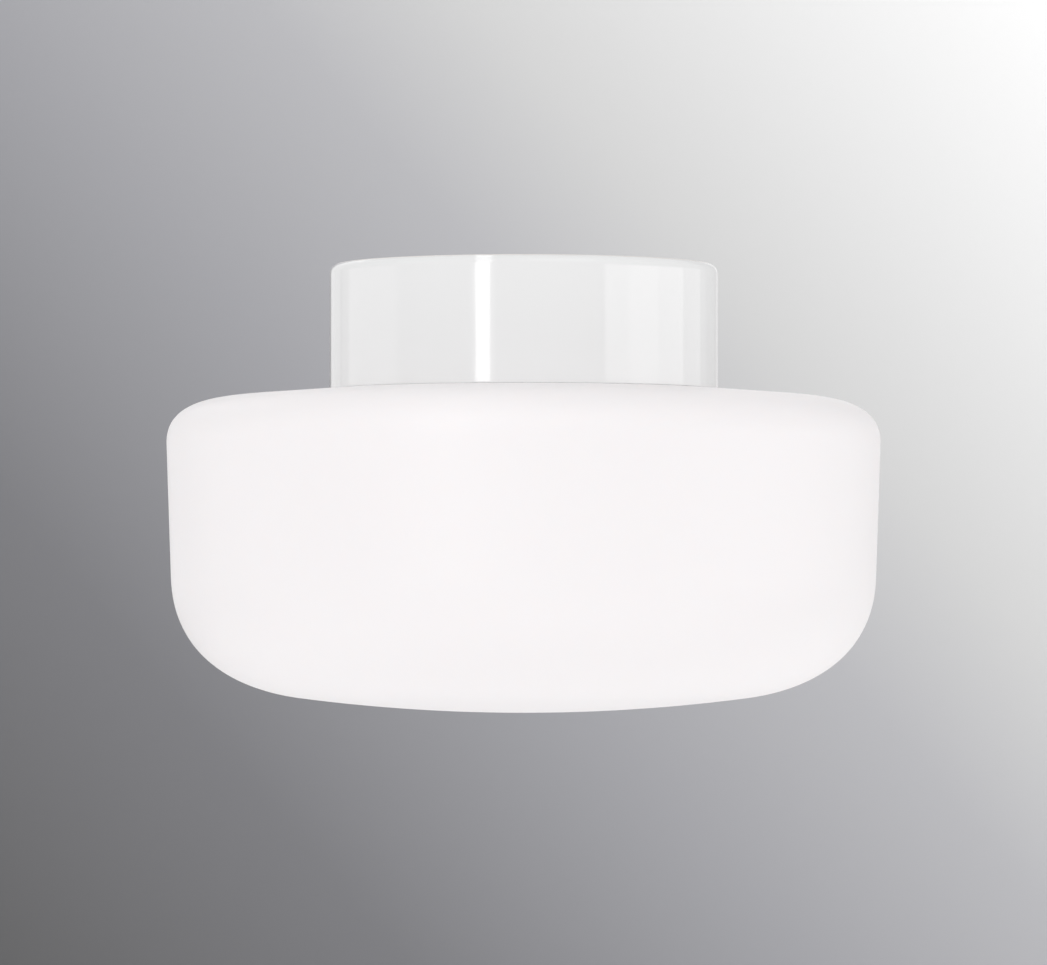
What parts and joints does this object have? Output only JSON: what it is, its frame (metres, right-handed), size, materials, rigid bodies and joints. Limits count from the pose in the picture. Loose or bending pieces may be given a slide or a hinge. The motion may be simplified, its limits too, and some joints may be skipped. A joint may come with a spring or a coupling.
{
  "type": "ceiling and wall lamp",
  "caption": "Ceiling and wall lamp: a round glazed porcelain base with a wide drum shade of matt opal glass that screws into it, over a bulb in a screw lampholder.",
  "frame": {"origin": "centre of the base's flat back, which lies on the ceiling or wall", "axes": "+Z out of the back into the ceiling or wall, so the shade hangs towards -Z; +X along the line through the two fixing slots; +Y towards the cable entry in use"},
  "size_m": [0.235, 0.235, 0.1476],
  "materials": {
    "glaze": "glossy white glaze",
    "opal": "opal glass with a satin matt surface",
    "ceramic": "unglazed or thinly glazed electrical ceramic",
    "silicone": "translucent white silicone",
    "rubber": "matt black",
    "zinc": "bright zinc plating",
    "nickel": "nickel plating",
    "brass": "plain brass",
    "block": "moulded, matt",
    "bulb_plastic": "semi-gloss white",
    "bulb_diffuser": "frosted white",
    "black_glass": "black vitreous insulator",
    "brown_insulation": "extruded",
    "blue_insulation": "extruded",
    "green_insulation": "extruded"
  },
  "bodies": {
    "base": {"porcelain_base": "glaze", "wall_gasket": "rubber", "cable_grommet": "rubber", "blanking_plug": "rubber", "lampholder_bracket": "zinc", "bracket_screw_1": "zinc", "bracket_nut_1": "brass", "bracket_screw_2": "zinc", "bracket_nut_2": "brass", "earth_screw": "brass", "lampholder_body": "ceramic", "lampholder_shell": "nickel", "live_contact": "brass", "neutral_contact": "brass", "live_contact_screw": "zinc", "neutral_contact_screw": "zinc", "lampholder_screw_1": "zinc", "lampholder_screw_2": "zinc", "terminal_block": "block", "terminal_block_screw": "zinc", "terminal_block_nut": "brass", "terminal_sleeve_1": "brass", "terminal_sleeve_2": "brass", "terminal_sleeve_3": "brass", "terminal_screw_1": "zinc", "terminal_screw_2": "zinc", "terminal_screw_3": "zinc", "terminal_screw_4": "zinc", "terminal_screw_5": "zinc", "terminal_screw_6": "zinc", "live_lead": "brown_insulation", "neutral_lead": "blue_insulation", "earth_lead": "green_insulation"},
    "shade_seal": {"shade_gasket": "silicone"},
    "shade": {"glass_shade": "opal"},
    "bulb_tip": {"bulb_contact": "brass"},
    "bulb": {"bulb_insulator": "black_glass", "bulb_cap": "nickel", "bulb_housing": "bulb_plastic", "bulb_diffuser": "bulb_diffuser"},
    "contact": {"contact_spring": "nickel"}
  },
  "joints": [
    {"name": "shade_travel", "type": "slide", "parent": "base", "child": "shade_seal", "axis": [0, 0, -1], "range_m": [0, 0.01051]},
    {"name": "shade_turn", "type": "hinge", "parent": "shade_seal", "child": "shade", "pos_m": [0, 0, -0.0415], "axis": [0, 0, -1], "range_deg": [0, 540]},
    {"name": "bulb_travel", "type": "slide", "parent": "base", "child": "bulb_tip", "axis": [0, 0, -1], "range_m": [0, 0.01275]},
    {"name": "bulb_turn", "type": "hinge", "parent": "bulb_tip", "child": "bulb", "pos_m": [0, 0, -0.0285], "axis": [0, 0, -1], "range_deg": [0, 1260]},
    {"name": "contact_press", "type": "hinge", "parent": "base", "child": "contact", "pos_m": [-0.00622, 0.0058, -0.02735], "axis": [-0.682, -0.7314, 0], "range_deg": [0, 7], "stiffness_Nm_per_rad": 0.3}
  ],
  "couplings": [
    {"joint": "shade_travel", "follows": "shade_turn", "m_per_rad": 0.0011141},
    {"joint": "bulb_travel", "follows": "bulb_turn", "m_per_rad": 0.00057757}
  ]
}
